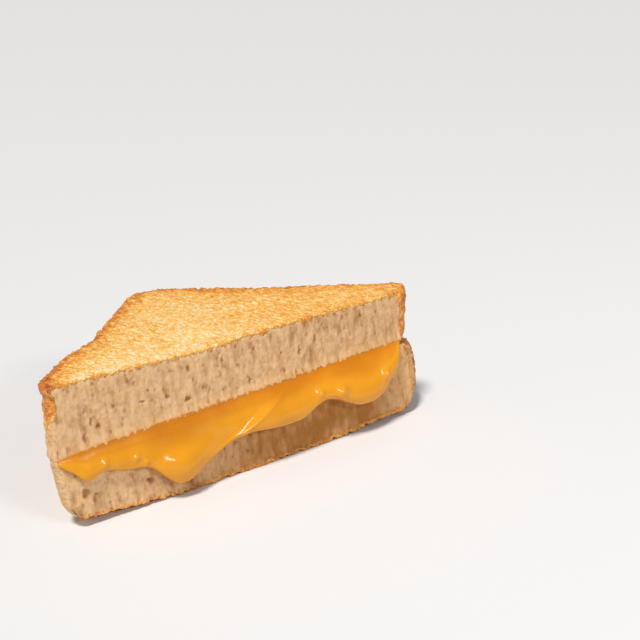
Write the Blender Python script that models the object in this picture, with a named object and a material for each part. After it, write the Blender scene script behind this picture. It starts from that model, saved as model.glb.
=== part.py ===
"""Grilled cheese sandwich: one half of a sandwich cut corner to corner.

Two thick slices from the same tin loaf lie on each other with melted cheese between
them. The knife has gone from a top shoulder of the slices to the far bottom corner, so
the half is a triangle in plan with two blunted points. The cheese runs right through
the half and hangs down in front of the lower slice, along the cut.

While it is being worked out the half lies with the cut along +X at y = 0, its body in
+Y, and z = 0 at the table. At the end it is moved so that the origin is below the
middle of its box.
"""

import math

import bmesh
import bpy
from mathutils import Vector

MM = 0.001

# The loaf slice, in its own plane: u across from the left side, v up from the bottom.
SLICE_WIDTH = 106.8 * MM
SHOULDER_HEIGHT = 104 * MM        # where the crown meets the sides
CROWN_HEIGHT = 110 * MM           # middle of the domed top
NOTCH_HEIGHT = 62 * MM            # the dent under the lobe that rose over the tin
LOBE_HEIGHT = 76 * MM
LOBE_SWELL = 4.4 * MM             # how far the lobe stands out past the side
SHOULDER_SWELL = 5.8 * MM
BOTTOM_HOLLOW = 1.6 * MM          # the bottom side is a little hollow in the middle
FAR_CORNER_DROP = 2.3 * MM        # and its far corner hangs a little low
NEAR_CORNER_RADIUS = 12 * MM
FAR_CORNER_RADIUS = 4 * MM
NOTCH_RADIUS = 5 * MM
LOBE_RADIUS = 30 * MM
SHOULDER_RADIUS = 6.5 * MM
CROWN_RADIUS = 90 * MM
HOLLOW_RADIUS = 150 * MM
RACK = math.radians(7)            # pressing has leant the sides over by this much

# Where the cut runs: the slice's bottom left corner and the way its bottom side points.
CORNER_PLACE = (74.55 * MM, 73.51 * MM)
BOTTOM_SIDE_TURN = math.radians(-38.4)
CUT_LENGTH = 150 * MM

# Heights above the table.
TOP_HEIGHT = 49.4 * MM            # toasted face at the left end of the cut
TOP_RISE = 2.4 * MM               # more at the right end
TOP_BACK_RISE = 0.6 * MM          # and towards the crust, over this depth
TOP_BACK_DEPTH = 40 * MM
TOP_DIP = 1.2 * MM                # a shallow hollow in the top face beside the cut
TOP_DIP_PLACE = 53 * MM
TOP_DIP_WIDTH = 14 * MM
TOP_DIP_DEPTH = 9 * MM
SEAM_HEIGHT = 26.2 * MM           # underside of the top slice at the left end
SEAM_RISE = 6.9 * MM
SEAM_DROOP = 1.3 * MM             # the top slice sags onto the lower one at the left end
SEAM_DROOP_LENGTH = 6 * MM
GAP = 0.3 * MM                    # left between pieces that touch
CHEESE_THICKNESS = 4.6 * MM
PINCH_LEFT = (-2 * MM, 20 * MM)   # the slices close on each other over this stretch
PINCH_RIGHT = (154 * MM, 132 * MM)
CORNER_SLACK = 3 * MM             # but the lower slice falls away at the very right corner
SLACK_FROM_TO = (140 * MM, 156 * MM)
LEFT_LIFT = 3.6 * MM              # the underside curls up towards both points
LEFT_LIFT_FROM_TO = (50 * MM, -10 * MM)
RIGHT_LIFT = 3.0 * MM
RIGHT_LIFT_FROM_TO = (98 * MM, 160 * MM)

# Rounded crust edges.
CRUST_EDGE = 2.4 * MM
SOFT_EDGE = 4 * MM                # upper crust edge of the lower slice
BASE_EDGE = 6.5 * MM              # and its foot
EDGE_STEPS = 3

# The lower slice lies a little to the right and leans out towards its foot.
LOWER_SHIFT = Vector((1.8 * MM, -0.4 * MM))
LOWER_LEAN = Vector((3.6 * MM, -0.9 * MM))
RIGHT_BULGE = 2.4 * MM            # its right crust bellies out as well
BULGE_FROM_TO = (142 * MM, 156 * MM)

# The top slice's left crust tucks in below its toasted rim.
LEFT_TUCK = 1.7 * MM
TUCK_FROM_TO = (22 * MM, 2 * MM)
RIM_LEVEL = 0.8                   # the rim reaches down to this share of the thickness

# Hanging cheese: place along the cut, drop below the seam and how far it stands proud.
HANG = (
    (0.6, 1.4, 0.9),
    (3.2, 4.2, 1.6),
    (9.8, 10.0, 2.8),       # first small drip
    (14.5, 9.0, 3.0),
    (29.0, 12.1, 3.6),
    (34.8, 16.5, 4.4),
    (43.8, 22.5, 5.2),      # the long drip
    (51.0, 20.0, 4.8),
    (61.5, 15.2, 4.6),
    (71.0, 13.4, 4.8),
    (86.0, 15.9, 5.4),      # broad lobe
    (97.0, 15.4, 5.8),
    (106.0, 11.9, 6.4),
    (113.0, 14.0, 7.0),
    (124.5, 19.0, 7.4),     # heavy bulge near the right end
    (133.5, 17.6, 6.8),
    (140.5, 10.6, 5.6),
    (145.0, 4.6, 2.6),
    (147.6, 1.4, 0.9),
)
CURTAIN_STEPS = 9
NECK = 0.35                       # thickness of the curtain where it starts, as a share
BEAD_FROM = 0.6                   # it is full from this share of its drop
BEAD_TO = 0.7                     # and rounds off to its lower edge from this one
TIP = 0.06
LAYER_FROM = 4 * MM
LAYER_TO = 146 * MM
LAYER_INSET = 0.8 * MM            # the layer stops just short of the crust line

SLAB_HEIGHT = 22 * MM             # a slice before it is pressed to its final heights
GRID_STEPS = (4.5 * MM, 12 * MM)  # spacing along X and Y of the lines where a slice can bend
CHEESE_STEP = 3 * MM              # between the cheese's sections
ARC_STEP = math.radians(14)
MERGE = 0.05 * MM
FLAT_ANGLE = math.radians(0.5)    # faces that meet at less than this become one
SHARP_ANGLE = math.radians(40)    # edges sharper than this are shaded as edges

BREAD_COLOUR = (0.83, 0.62, 0.36, 1)
CHEESE_COLOUR = (0.93, 0.56, 0.13, 1)


def smooth(low, high, value):
    """0 at low, 1 at high, with no slope at either end; low may be above high."""
    t = min(1.0, max(0.0, (value - low) / (high - low)))
    return t * t * (3 - 2 * t)


def bump(distance, width):
    """A bell of height 1."""
    return math.exp(-0.5 * (distance / width) ** 2)


def top_height(x, y):
    """Height of the toasted top face."""
    plane = TOP_HEIGHT + TOP_RISE * x / CUT_LENGTH + TOP_BACK_RISE * smooth(0, TOP_BACK_DEPTH, y)
    return plane - TOP_DIP * bump(x - TOP_DIP_PLACE, TOP_DIP_WIDTH) * bump(y, TOP_DIP_DEPTH)


def seam_height(x):
    """Height of the underside of the top slice."""
    return SEAM_HEIGHT + SEAM_RISE * x / CUT_LENGTH - SEAM_DROOP * math.exp(-abs(x) / SEAM_DROOP_LENGTH)


def bed_height(x):
    """Height of the upper face of the lower slice, which the cheese lies on."""
    open_part = smooth(*PINCH_LEFT, x) * smooth(*PINCH_RIGHT, x)
    slack = CORNER_SLACK * smooth(*SLACK_FROM_TO, x)
    return seam_height(x) - GAP - (CHEESE_THICKNESS - GAP) * open_part - slack


def base_height(x):
    """Height of the underside: flat in the middle and lifted towards both points."""
    left = LEFT_LIFT * smooth(*LEFT_LIFT_FROM_TO, x)
    return left + RIGHT_LIFT * smooth(*RIGHT_LIFT_FROM_TO, x)


def press_upper(x, y, level):
    """Final place of a point of the top slice."""
    low, high = seam_height(x), top_height(x, y)
    tuck = LEFT_TUCK * smooth(*TUCK_FROM_TO, x) * smooth(1, RIM_LEVEL, level)
    return x + tuck, y, low + (high - low) * level


def press_lower(x, y, level):
    """Final place of a point of the lower slice, which leans and bellies out at the right."""
    low, high = base_height(x), bed_height(x)
    push = LOWER_SHIFT + LOWER_LEAN * (1 - level)
    belly = RIGHT_BULGE * smooth(*BULGE_FROM_TO, x) * math.sin(math.pi * level)
    return x + push.x + belly, y + push.y, low + (high - low) * level


def fillet(before, corner, after, radius):
    """Points of the arc that rounds a corner between two straight sides."""
    to_before = (Vector(before) - Vector(corner)).normalized()
    to_after = (Vector(after) - Vector(corner)).normalized()
    opening = to_before.angle(to_after)
    setback = radius / math.tan(opening / 2)
    centre = Vector(corner) + (to_before + to_after).normalized() * radius / math.sin(opening / 2)
    start = Vector(corner) + to_before * setback - centre
    turn = math.pi - opening
    if start.x * to_before.y - start.y * to_before.x > 0:
        turn = -turn
    steps = max(2, round(abs(turn) / ARC_STEP))
    points = []
    for i in range(steps + 1):
        angle = turn * i / steps
        c, s = math.cos(angle), math.sin(angle)
        points.append((centre.x + start.x * c - start.y * s, centre.y + start.x * s + start.y * c))
    return points


def slice_outline():
    """Outline of a whole slice in plan, placed so that the cut runs along y = 0."""
    def flip(corner):
        u, v, radius = corner
        return SLICE_WIDTH - u, v, radius

    side = [
        (0, NOTCH_HEIGHT, NOTCH_RADIUS),
        (-LOBE_SWELL, LOBE_HEIGHT, LOBE_RADIUS),
        (-SHOULDER_SWELL, SHOULDER_HEIGHT, SHOULDER_RADIUS),
    ]
    corners = [(0, 0, NEAR_CORNER_RADIUS)] + side
    corners.append((SLICE_WIDTH / 2, CROWN_HEIGHT, CROWN_RADIUS))
    corners += [flip(c) for c in reversed(side)]
    corners.append((SLICE_WIDTH, -FAR_CORNER_DROP, FAR_CORNER_RADIUS))
    corners.append((SLICE_WIDTH / 2, BOTTOM_HOLLOW, HOLLOW_RADIUS))

    cos_turn, sin_turn = math.cos(BOTTOM_SIDE_TURN), math.sin(BOTTOM_SIDE_TURN)
    outline = []
    for i, (u, v, radius) in enumerate(corners):
        before, after = corners[i - 1], corners[(i + 1) % len(corners)]
        for across, up in fillet(before[:2], (u, v), after[:2], radius):
            across -= up * math.tan(RACK)
            x = CORNER_PLACE[0] + across * cos_turn + up * sin_turn
            y = CORNER_PLACE[1] + across * sin_turn - up * cos_turn
            outline.append((x, y))
    return outline


def back_edge(outline, x):
    """Depth of the crust behind a place on the cut: the far crossing of the outline."""
    crossings = []
    for i, (x1, y1) in enumerate(outline):
        x0, y0 = outline[i - 1]
        if (x0 - x) * (x1 - x) < 0:
            crossings.append(y0 + (y1 - y0) * (x - x0) / (x1 - x0))
    return max(crossings)


def principled(name, colour, roughness):
    """A plain material of one colour."""
    material = bpy.data.materials.new(name)
    material.use_nodes = True
    shader = material.node_tree.nodes["Principled BSDF"]
    shader.inputs["Base Color"].default_value = colour
    shader.inputs["Roughness"].default_value = roughness
    material.diffuse_color = colour
    return material


def slab_mesh(name, outline, collection):
    """A flat slab with the given outline, standing on z = 0, made from a filled curve."""
    curve = bpy.data.curves.new(name + "_outline", "CURVE")
    curve.dimensions = "2D"
    curve.fill_mode = "BOTH"
    curve.extrude = SLAB_HEIGHT / 2
    spline = curve.splines.new("POLY")
    spline.points.add(len(outline) - 1)
    for point, (x, y) in zip(spline.points, outline):
        point.co = (x, y, 0, 1)
    spline.use_cyclic_u = True
    guide = bpy.data.objects.new(name + "_outline", curve)
    guide.location.z = SLAB_HEIGHT / 2
    collection.objects.link(guide)
    bpy.context.view_layer.update()
    evaluated = guide.evaluated_get(bpy.context.evaluated_depsgraph_get())
    mesh = bpy.data.meshes.new_from_object(evaluated)
    mesh.transform(guide.matrix_world)
    bpy.data.objects.remove(guide)
    return mesh


def round_edges(bm, height, radius):
    """Round the crust edge that lies at a height."""
    loop = [e for e in bm.edges if all(abs(v.co.z - height) < MERGE for v in e.verts)]
    bmesh.ops.bevel(bm, geom=loop, offset=radius, segments=EDGE_STEPS, profile=0.5,
                    affect="EDGES", clamp_overlap=True)


def cut_lines(bm, axis, low, high):
    """Add evenly spaced lines of vertices across an axis, so that the slab can bend."""
    normal = Vector((0, 0, 0))
    normal[axis] = 1
    count = round((high - low) / GRID_STEPS[axis])
    for i in range(1, count):
        place = normal * (low + (high - low) * i / count)
        geometry = bm.verts[:] + bm.edges[:] + bm.faces[:]
        bmesh.ops.bisect_plane(bm, geom=geometry, dist=MERGE, plane_co=place, plane_no=normal)


def knife(bm):
    """Cut the slab along y = 0, throw the near part away and close the cut."""
    geometry = bm.verts[:] + bm.edges[:] + bm.faces[:]
    bmesh.ops.bisect_plane(bm, geom=geometry, dist=MERGE, plane_co=(0, 0, 0),
                           plane_no=(0, -1, 0), clear_outer=True)
    rim = [e for e in bm.edges if e.is_boundary]
    bmesh.ops.contextual_create(bm, geom=rim)


def bread_slice(name, outline, edges, press, collection, material):
    """One half slice: a slab that is rounded, cut and then pressed into its final shape.

    edges holds the radii of the lower and the upper crust edge. press gives the final
    place of a point from its place in plan and its level, 0 at the foot and 1 on top.
    """
    mesh = slab_mesh(name, outline, collection)
    mesh.name = name
    bm = bmesh.new()
    bm.from_mesh(mesh)
    bmesh.ops.remove_doubles(bm, verts=bm.verts, dist=MERGE)
    bmesh.ops.dissolve_limit(bm, angle_limit=FLAT_ANGLE, verts=bm.verts, edges=bm.edges)
    round_edges(bm, 0, edges[0])
    round_edges(bm, SLAB_HEIGHT, edges[1])
    knife(bm)
    xs = [v.co.x for v in bm.verts]
    ys = [v.co.y for v in bm.verts]
    cut_lines(bm, 0, min(xs), max(xs))
    cut_lines(bm, 1, 0, max(ys))
    for vertex in bm.verts:
        x, y, z = vertex.co
        vertex.co = press(x, y, z / SLAB_HEIGHT)
    bmesh.ops.remove_doubles(bm, verts=bm.verts, dist=MERGE)
    bmesh.ops.triangulate(bm, faces=bm.faces)
    bmesh.ops.recalc_face_normals(bm, faces=bm.faces)
    bm.to_mesh(mesh)
    bm.free()
    mesh.materials.clear()
    mesh.materials.append(material)
    mesh.shade_smooth()
    mesh.set_sharp_from_angle(angle=SHARP_ANGLE)
    piece = bpy.data.objects.new(name, mesh)
    collection.objects.link(piece)
    return piece


def hang_at(x):
    """Drop and proudness of the hanging cheese at x, easing from each station to the next."""
    stations = [tuple(value * MM for value in row) for row in HANG]
    for (x0, drop0, proud0), (x1, drop1, proud1) in zip(stations, stations[1:]):
        if x <= x1 + MERGE:
            t = smooth(x0, x1, x)
            return drop0 + (drop1 - drop0) * t, proud0 + (proud1 - proud0) * t
    return stations[-1][1:]


def lower_face(x, z):
    """How far towards -Y the cut face of the lower slice stands at a height."""
    level = min(1.0, z / lower_top(x))
    return LOWER_SHIFT.y + LOWER_LEAN.y * (1 - level)


def lower_top(x):
    """Height of the upper front edge of the lower slice, where it lies after its shift."""
    return bed_height(x - LOWER_SHIFT.x)


def cheese_section(x, outline):
    """Closed section of the cheese across the cut, as places (y, z) in order.

    It runs forwards under the top slice, down the front of the hanging curtain, up its
    back along the cut face of the lower slice, and back over that slice. Beyond the ends
    of the layer the curtain alone is left, and the layer's places close up on its back.
    """
    seam = seam_height(x) - GAP
    drop, proud = hang_at(x)
    foot = seam - drop
    front = LOWER_SHIFT.y - GAP
    if LAYER_FROM <= x <= LAYER_TO:
        mouth, depth, bed = 0, back_edge(outline, x) - LAYER_INSET, lower_top(x) + GAP
    else:
        mouth, depth, bed = front, front, seam - 2 * GAP

    over = [(depth + (mouth - depth) * t, seam) for t in (0.0, 0.3, 0.6, 1.0)]
    down = []
    for i in range(1, CURTAIN_STEPS + 1):
        t = i / CURTAIN_STEPS
        z = seam - drop * t
        body = NECK + (1 - NECK) * smooth(0, BEAD_FROM, t)
        roundness = math.sqrt(max(0, 1 - (max(0, t - BEAD_TO) / (1 - BEAD_TO)) ** 2))
        down.append((lower_face(x, z) - GAP - proud * body * max(TIP, roundness), z))
    up = []
    for t in (0.12, 0.4, 0.7, 1.0):
        z = foot + (bed - foot) * t
        up.append((lower_face(x, z) - GAP, z))
    under = [(front + (depth - front) * t, bed) for t in (0.35, 0.7, 1.0)]
    return over + down + up + under


def cheese(outline, collection, material):
    """The melted cheese: a loft of sections along the cut, closed at both ends."""
    first, last = HANG[0][0] * MM, HANG[-1][0] * MM
    count = round((LAYER_TO - LAYER_FROM) / CHEESE_STEP)
    places = [first, (first + LAYER_FROM) / 2, LAYER_FROM - GAP]
    places += [LAYER_FROM + (LAYER_TO - LAYER_FROM) * i / count for i in range(count + 1)]
    places += [LAYER_TO + GAP, (last + LAYER_TO) / 2, last]
    bm = bmesh.new()
    rings = []
    for x in places:
        rings.append([bm.verts.new((x, y, z)) for y, z in cheese_section(x, outline)])
    for ring, following in zip(rings, rings[1:]):
        for i in range(len(ring)):
            bm.faces.new((ring[i - 1], ring[i], following[i], following[i - 1]))
    bm.faces.new(rings[0])
    bm.faces.new(reversed(rings[-1]))
    bmesh.ops.triangulate(bm, faces=bm.faces)
    bmesh.ops.recalc_face_normals(bm, faces=bm.faces)
    mesh = bpy.data.meshes.new("cheese")
    bm.to_mesh(mesh)
    bm.free()
    mesh.materials.append(material)
    mesh.shade_smooth()
    mesh.set_sharp_from_angle(angle=SHARP_ANGLE)
    piece = bpy.data.objects.new("cheese", mesh)
    collection.objects.link(piece)
    return piece


def centre_on_box(pieces):
    """Move every piece so that the origin is below the middle of their common box."""
    corners = [v.co for piece in pieces for v in piece.data.vertices]
    low = [min(c[i] for c in corners) for i in range(3)]
    high = [max(c[i] for c in corners) for i in range(3)]
    offset = Vector((-(low[0] + high[0]) / 2, -(low[1] + high[1]) / 2, -low[2]))
    for piece in pieces:
        for vertex in piece.data.vertices:
            vertex.co += offset


def main():
    """Build the half sandwich."""
    for thing in list(bpy.data.objects):
        bpy.data.objects.remove(thing)
    collection = bpy.data.collections.new("grilled_cheese_sandwich")
    bpy.context.scene.collection.children.link(collection)

    bread = principled("toasted_white_bread", BREAD_COLOUR, 0.9)
    melted = principled("melted_cheese", CHEESE_COLOUR, 0.25)
    outline = slice_outline()
    lower_edges, upper_edges = (BASE_EDGE, SOFT_EDGE), (CRUST_EDGE, CRUST_EDGE)
    pieces = [
        bread_slice("bread_bottom", outline, lower_edges, press_lower, collection, bread),
        cheese(outline, collection, melted),
        bread_slice("bread_top", outline, upper_edges, press_upper, collection, bread),
    ]
    centre_on_box(pieces)


main()
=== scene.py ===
"""Looks of a grilled cheese sandwich: one half of a sandwich cut corner to corner.

Two thick griddled slices of white tin loaf hold a layer of melted cheddar, which hangs
over the lower slice along the cut. Each slice and the cheese is one closed surface, made
of closed sections that are ruled from the cut to the crust. Lengths are in millimetres
until a mesh is filled; the cut lies along X at y = 0 with the body behind it.
"""
import logging
import math
from dataclasses import dataclass, field
from enum import Enum

import bpy
import numpy as np
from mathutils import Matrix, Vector


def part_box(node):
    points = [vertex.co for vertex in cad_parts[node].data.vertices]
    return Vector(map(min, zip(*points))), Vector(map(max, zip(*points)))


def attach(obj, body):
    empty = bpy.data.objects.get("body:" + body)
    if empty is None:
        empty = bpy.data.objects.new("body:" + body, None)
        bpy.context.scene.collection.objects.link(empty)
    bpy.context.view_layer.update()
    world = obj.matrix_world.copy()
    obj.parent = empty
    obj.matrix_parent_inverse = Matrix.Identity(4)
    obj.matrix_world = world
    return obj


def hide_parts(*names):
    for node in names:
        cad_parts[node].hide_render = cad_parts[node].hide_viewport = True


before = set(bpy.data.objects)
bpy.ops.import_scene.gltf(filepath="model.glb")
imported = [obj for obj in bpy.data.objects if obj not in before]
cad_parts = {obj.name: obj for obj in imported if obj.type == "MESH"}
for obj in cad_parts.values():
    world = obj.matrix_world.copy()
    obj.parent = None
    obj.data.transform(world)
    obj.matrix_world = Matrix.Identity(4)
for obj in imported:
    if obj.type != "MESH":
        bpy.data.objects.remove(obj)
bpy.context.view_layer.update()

MM = 0.001
LOG = logging.getLogger("sandwich")


# ---------------------------------------------------------------- small mathematics

def ease(low: float, high: float, value: np.ndarray) -> np.ndarray:
    """Smooth step: 0 at low, 1 at high, level at both; low may be above high.

    Args:
        low: where the step starts.
        high: where it is complete.
        value: places to evaluate.

    Returns:
        3t² - 2t³ of the clamped share t.
    """
    t = np.clip((value - low) / (high - low), 0, 1)
    return t * t * (3 - 2 * t)


def bell(distance: np.ndarray, width: float) -> np.ndarray:
    """A bell curve of height 1: exp(-(distance / width)² / 2)."""
    return np.exp(-0.5 * (distance / width) ** 2)


def through(stations: np.ndarray, column: int, place: np.ndarray) -> np.ndarray:
    """Smooth curve through stations that never overshoots them.

    Cubic Hermite pieces whose slope at a station is the harmonic mean of the slopes of
    the two chords beside it, or zero where they turn.

    Args:
        stations: rows of place followed by values.
        column: which value to read.
        place: where to evaluate.

    Returns:
        The values at those places.
    """
    x, y = stations[:, 0], stations[:, column]
    chord = np.diff(y) / np.diff(x)
    before, after = chord[:-1], chord[1:]
    product = before * after
    mean = 2 * product / np.where(product > 0, before + after, 1)
    slope = np.concatenate(([chord[0]], np.where(product > 0, mean, 0), [chord[-1]]))
    i = np.clip(np.searchsorted(x, place) - 1, 0, len(x) - 2)
    width = x[i + 1] - x[i]
    t = np.clip((place - x[i]) / width, 0, 1)
    rise = t * t * (3 - 2 * t)
    bend = t * (1 - t) * width
    return y[i] * (1 - rise) + y[i + 1] * rise + bend * (slope[i] * (1 - t) - slope[i + 1] * t)


def lattice_value(cell: np.ndarray, seed: int) -> np.ndarray:
    """A fixed scattered number between 0 and 1 for each whole-number place in space.

    The three indices are multiplied by large primes, joined with the seed and stirred
    with shifts and products in 32 bits.

    Args:
        cell: array of (..., 3) whole numbers.
        seed: a different number gives a different scatter.

    Returns:
        Array of (...) numbers.
    """
    mask = np.uint64(0xFFFFFFFF)
    whole = cell.astype(np.int64)
    mixed = (whole[..., 0] * 73856093) ^ (whole[..., 1] * 19349663)
    mixed = (mixed ^ (whole[..., 2] * 83492791) ^ (seed * 2654435761)).astype(np.uint64) & mask
    for shift, factor in ((15, 2246822519), (13, 3266489917)):
        mixed = ((mixed ^ (mixed >> np.uint64(shift))) * np.uint64(factor)) & mask
    return (mixed ^ (mixed >> np.uint64(16))) / 2.0 ** 32


def noise(places: np.ndarray, size: float | tuple[float, float, float], seed: int,
          octaves: int = 1) -> np.ndarray:
    """Smooth gradient noise of about -1 to 1.

    Each lattice corner carries a scattered gradient; the value is the corners' planes
    blended with 6t⁵ - 15t⁴ + 10t³. Every further octave is half as large and half as
    strong.

    Args:
        places: array of (..., 3) places in mm.
        size: lattice spacing in mm, one number or one for each axis.
        seed: which scatter.
        octaves: how many layers.

    Returns:
        Array of (...) values.
    """
    total, weight, whole = 0.0, 1.0, 0.0
    for octave in range(octaves):
        q = places / np.asarray(size, dtype=float) * 2 ** octave + 17.3 * octave
        base = np.floor(q)
        inside = q - base
        blend = inside ** 3 * (inside * (inside * 6 - 15) + 10)
        value = np.zeros(q.shape[:-1])
        for corner in np.ndindex(2, 2, 2):
            offset = np.array(corner)
            share = np.prod(np.where(offset, blend, 1 - blend), axis=-1)
            plane = sum(
                (lattice_value(base + offset, seed + 31 * octave + 7 * axis) * 2 - 1)
                * (inside[..., axis] - offset[axis]) for axis in range(3))
            value += share * plane
        total = total + weight * value
        whole += weight
        weight *= 0.5
    return total / whole * 1.7


def pits(places: np.ndarray, spacing: float, stretch: tuple[float, float, float],
         radii: tuple[float, float], chance: float, seed: int) -> np.ndarray:
    """Depth of scattered pits: 0 between them, up to 1 in the middle of one.

    Space is cut into cells that may each hold one pit of a scattered place, radius and
    depth. With d the distance over the radius, a pit is (1 - d²)^1.5 deep; the deepest
    one near a place counts.

    Args:
        places: array of (..., 3) places in mm.
        spacing: side of a cell in mm.
        stretch: how much longer cells and pits are along each axis.
        radii: smallest and largest radius in mm.
        chance: share of the cells that hold a pit.
        seed: which scatter.

    Returns:
        Array of (...) depths.
    """
    q = places / (spacing * np.asarray(stretch))
    base = np.floor(q)
    deepest = np.zeros(q.shape[:-1])
    for step in np.ndindex(3, 3, 3):
        cell = base + (np.array(step) - 1)
        away = sum((q[..., axis] - cell[..., axis] - lattice_value(cell, seed + axis)) ** 2
                   for axis in range(3))
        radius = radii[0] + (radii[1] - radii[0]) * lattice_value(cell, seed + 3) ** 2
        depth = 0.45 + 0.55 * lattice_value(cell, seed + 5)
        bowl = np.clip(1 - away * (spacing / radius) ** 2, 0, 1) ** 1.5 * depth
        deepest = np.maximum(deepest, np.where(lattice_value(cell, seed + 4) < chance, bowl, 0))
    return deepest


def soften(values: np.ndarray, passes: int) -> np.ndarray:
    """Blur a closed row of values along axis 1 with the weights 1, 2, 1."""
    for _ in range(passes):
        values = (np.roll(values, 1, axis=1) + 2 * values + np.roll(values, -1, axis=1)) / 4
    return values


# ---------------------------------------------------------------- meshes

def tube_normals(points: np.ndarray) -> np.ndarray:
    """Outward unit normals of a tube of closed sections.

    The cross product of the step from section to section and the step round a section,
    each the difference of the two neighbours.

    Args:
        points: array of (sections, rows, 3); the rows run so that the normals point out.

    Returns:
        Array of the same shape.
    """
    across = np.gradient(points, axis=0)
    around = np.roll(points, -1, axis=1) - np.roll(points, 1, axis=1)
    normal = np.cross(across, around)
    length = np.linalg.norm(normal, axis=-1, keepdims=True)
    return normal / np.maximum(length, 1e-9)


def tube_mesh(name: str, points: np.ndarray, marks: dict[str, np.ndarray],
              origin: np.ndarray, fold: int = 0) -> bpy.types.Object:
    """Fill a mesh with a tube of closed sections, and close both ends with a strip.

    The strip joins the rows on one side of a section to those on its other side, like
    the teeth of a zip.

    Args:
        name: name of the piece.
        points: array of (sections, rows, 3) in mm, rows running anticlockwise as seen
            from the far end, so that faces point outwards. The rows are even in number.
        marks: named values for every point, kept as attributes.
        origin: where the working origin lies in the shared frame, in metres.
        fold: row at which a section folds onto itself to be closed.

    Returns:
        The object, at the origin, with its place in its mesh.
    """
    sections, rows = points.shape[:2]
    flat = points.reshape(-1, 3) * MM + origin
    index = np.arange(sections * rows).reshape(sections, rows)
    following = np.roll(index, -1, axis=1)
    quads = np.stack([index[:-1], index[1:], following[1:], following[:-1]], axis=-1)
    one_side = np.roll(index, -fold, axis=1)[:, :rows // 2]
    other = np.roll(index, -fold, axis=1)[:, :rows // 2 - 1:-1]
    near = np.stack([one_side[0, :-1], one_side[0, 1:], other[0, 1:], other[0, :-1]], axis=-1)
    far = np.stack([one_side[-1, 1:], one_side[-1, :-1], other[-1, :-1], other[-1, 1:]],
                   axis=-1)
    corners = np.concatenate([quads.ravel(), near.ravel(), far.ravel()])
    starts = np.arange(len(corners) // 4) * 4

    mesh = bpy.data.meshes.new(name)
    mesh.vertices.add(len(flat))
    mesh.vertices.foreach_set("co", flat.astype(np.float32).ravel())
    mesh.loops.add(len(corners))
    mesh.loops.foreach_set("vertex_index", corners.astype(np.int32))
    mesh.polygons.add(len(starts))
    mesh.polygons.foreach_set("loop_start", starts.astype(np.int32))
    mesh.update(calc_edges=True)
    mesh.validate()
    mesh.shade_smooth()
    for mark, values in marks.items():
        attribute = mesh.attributes.new(mark, "FLOAT", "POINT")
        attribute.data.foreach_set("value", values.astype(np.float32).ravel())
    piece = bpy.data.objects.new(name, mesh)
    bpy.context.scene.collection.objects.link(piece)
    return piece


# ---------------------------------------------------------------- materials

def linear(code: str) -> tuple[float, float, float, float]:
    """Turn an sRGB hex colour into linear RGBA."""
    channels = [int(code[i:i + 2], 16) / 255 for i in (0, 2, 4)]
    bright = [c / 12.92 if c <= 0.04045 else ((c + 0.055) / 1.055) ** 2.4 for c in channels]
    return (*bright, 1.0)


def add_node(tree: bpy.types.NodeTree, kind: str, settings: dict | None = None,
             inputs: dict | None = None) -> bpy.types.Node:
    """Add a node with its settings, its input values and its links.

    Args:
        tree: the node tree.
        kind: Blender's name of the node type, without the ShaderNode in front.
        settings: properties of the node.
        inputs: sockets by name or number, each with a value or a socket to link.

    Returns:
        The node.
    """
    node = tree.nodes.new("ShaderNode" + kind)
    for name, value in (settings or {}).items():
        setattr(node, name, value)
    for key, value in (inputs or {}).items():
        if isinstance(value, bpy.types.NodeSocket):
            tree.links.new(value, node.inputs[key])
        else:
            node.inputs[key].default_value = value
    return node


def shared_ramp(tree: bpy.types.NodeTree, stops: tuple[tuple[float, str], ...],
                factor: bpy.types.NodeSocket) -> bpy.types.NodeSocket:
    """Add a colour ramp with stops of place and sRGB hex colour, and return its colour."""
    ramp = add_node(tree, "ValToRGB", inputs={"Fac": factor})
    elements = ramp.color_ramp.elements
    while len(elements) < len(stops):
        elements.new(0.5)
    for element, (place, code) in zip(elements, stops):
        element.position = place
        element.color = linear(code)
    return ramp.outputs["Color"]


def spread(tree: bpy.types.NodeTree, value: bpy.types.NodeSocket, low: float,
           high: float) -> bpy.types.NodeSocket:
    """Map a value of 0 to 1 onto low to high."""
    node = add_node(tree, "MapRange", inputs={"Value": value, "To Min": low, "To Max": high})
    return node.outputs["Result"]


def swing(tree: bpy.types.NodeTree, value: bpy.types.NodeSocket,
          amount: float) -> bpy.types.NodeSocket:
    """Map noise, most of which lies between 0.36 and 0.64, onto -amount to amount."""
    node = add_node(tree, "MapRange", inputs={
        "Value": value, "From Min": 0.36, "From Max": 0.64, "To Min": -amount,
        "To Max": amount})
    return node.outputs["Result"]


def total(tree: bpy.types.NodeTree, *parts: bpy.types.NodeSocket) -> bpy.types.NodeSocket:
    """Sum of several values."""
    whole = parts[0]
    for part in parts[1:]:
        whole = add_node(tree, "Math", {"operation": "ADD"}, {0: whole, 1: part}).outputs[0]
    return whole


def grain(tree: bpy.types.NodeTree, size: float, detail: float = 2.0,
          squeeze: tuple[float, float, float] = (1, 1, 1)) -> bpy.types.NodeSocket:
    """Noise of a real size on Object coordinates.

    Args:
        tree: the node tree.
        size: size of the grain in mm.
        detail: octaves.
        squeeze: how much finer it is along each axis.

    Returns:
        The noise's value, 0 to 1.
    """
    place = add_node(tree, "TexCoord").outputs["Object"]
    moved = add_node(tree, "Mapping", inputs={"Vector": place, "Scale": squeeze})
    settings = {"Vector": moved.outputs[0], "Scale": 1 / (size * MM), "Detail": detail,
                "Roughness": 0.55}
    return add_node(tree, "TexNoise", inputs=settings).outputs["Fac"]


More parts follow.
